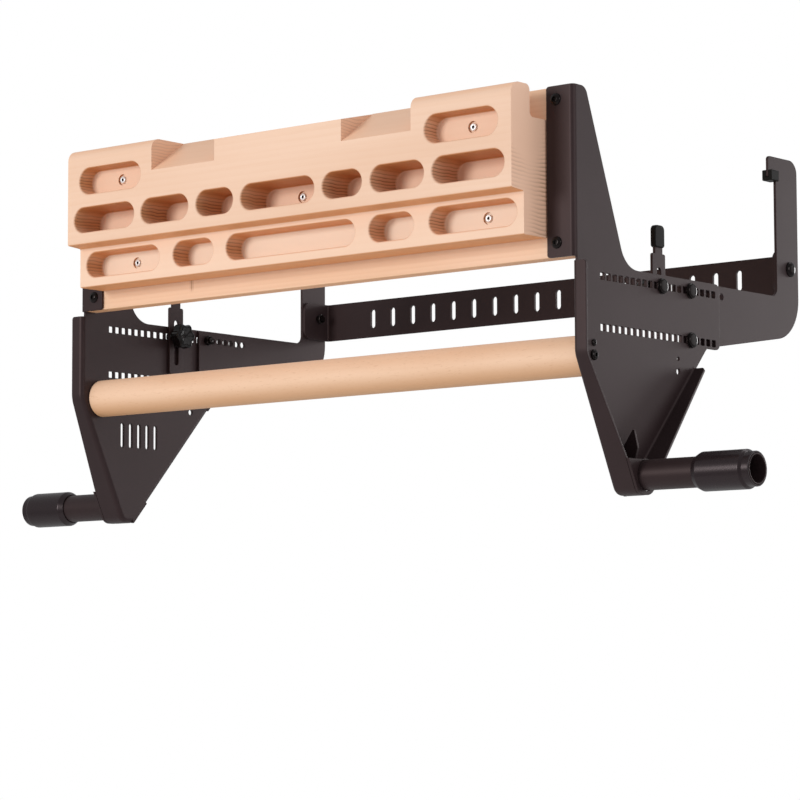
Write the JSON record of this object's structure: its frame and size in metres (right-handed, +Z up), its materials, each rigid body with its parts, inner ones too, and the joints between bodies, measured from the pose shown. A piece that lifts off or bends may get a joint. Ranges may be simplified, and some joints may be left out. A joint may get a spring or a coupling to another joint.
{
  "type": "doorway hangboard",
  "caption": "Wooden fingerboard block and pull-up bar between folded steel side plates with outer handles; a sliding rear frame hooks over the far door casing.",
  "frame": {"origin": "midway between the seats of the two hook pads, in the middle of the doorway", "axes": "+X along the pull-up bar, +Y into the doorway away from the hangboard, +Z up"},
  "size_m": [0.984, 0.4578, 0.3959],
  "materials": {
    "block_wood": "sanded beech-like wood with a thin oil finish",
    "board_wood": "sanded wood, finger-jointed",
    "bar_wood": "turned and sanded wood",
    "black_coat": "fine-grained black powder coat",
    "black_bolt": "black coated steel",
    "zinc": "bright zinc plate",
    "grip_rubber": "satin black rubber",
    "rubber": "matt black rubber",
    "black_plastic": "moulded black plastic"
  },
  "bodies": {
    "rear_frame": {"rear_brace": "black_coat", "rear_arm_left": "black_coat", "hook_pad_left": "rubber", "arm_bolt_upper_left": "black_bolt", "arm_bolt_lower_left": "black_bolt", "arm_nut_upper_left": "black_bolt", "arm_nut_lower_left": "black_bolt", "brace_bolt_left": "black_bolt", "brace_nut_left": "black_bolt", "rear_arm_right": "black_coat", "hook_pad_right": "rubber", "arm_bolt_upper_right": "black_bolt", "arm_bolt_lower_right": "black_bolt", "arm_nut_upper_right": "black_bolt", "arm_nut_lower_right": "black_bolt", "brace_bolt_right": "black_bolt", "brace_nut_right": "black_bolt"},
    "front_frame": {"hangboard_block": "block_wood", "backing_board": "board_wood", "pull_up_bar": "bar_wood", "hangboard_screw_1": "zinc", "hangboard_screw_2": "zinc", "hangboard_screw_3": "zinc", "hangboard_screw_4": "zinc", "hangboard_screw_5": "zinc", "side_plate_left": "black_coat", "tip_cap_left": "black_coat", "gusset_left": "black_coat", "handle_tube_left": "black_coat", "grip_sleeve_left": "grip_rubber", "bar_screw_left": "black_bolt", "bar_pin_left": "black_bolt", "face_bolt_upper_left": "black_bolt", "face_bolt_lower_left": "black_bolt", "stop_bolt_left": "black_bolt", "face_nut_upper_left": "zinc", "face_nut_lower_left": "zinc", "side_plate_right": "black_coat", "tip_cap_right": "black_coat", "gusset_right": "black_coat", "handle_tube_right": "black_coat", "grip_sleeve_right": "grip_rubber", "bar_screw_right": "black_bolt", "bar_pin_right": "black_bolt", "face_bolt_upper_right": "black_bolt", "face_bolt_lower_right": "black_bolt", "stop_bolt_right": "black_bolt", "face_nut_upper_right": "zinc", "face_nut_lower_right": "zinc"},
    "stop_left": {"stop_strap_left": "black_coat", "stop_cap_left": "rubber"},
    "stop_right": {"stop_strap_right": "black_coat", "stop_cap_right": "rubber"},
    "knob_left": {"stop_knob_left": "black_plastic"},
    "knob_right": {"stop_knob_right": "black_plastic"}
  },
  "joints": [
    {"name": "depth_slide", "type": "slide", "parent": "rear_frame", "child": "front_frame", "axis": [0, 1, 0], "range_m": [-0.04, 0.02]},
    {"name": "stop_slide_left", "type": "slide", "parent": "front_frame", "child": "stop_left", "axis": [0, 0, 1], "range_m": [-0.015, 0.028]},
    {"name": "stop_slide_right", "type": "slide", "parent": "front_frame", "child": "stop_right", "axis": [0, 0, 1], "range_m": [-0.015, 0.028]},
    {"name": "knob_spin_left", "type": "hinge", "parent": "front_frame", "child": "knob_left", "pos_m": [-0.32, -0.2066, -0.1317], "axis": [1, 0, 0], "continuous": true},
    {"name": "knob_spin_right", "type": "hinge", "parent": "front_frame", "child": "knob_right", "pos_m": [0.32, -0.2066, -0.1317], "axis": [1, 0, 0], "continuous": true}
  ]
}
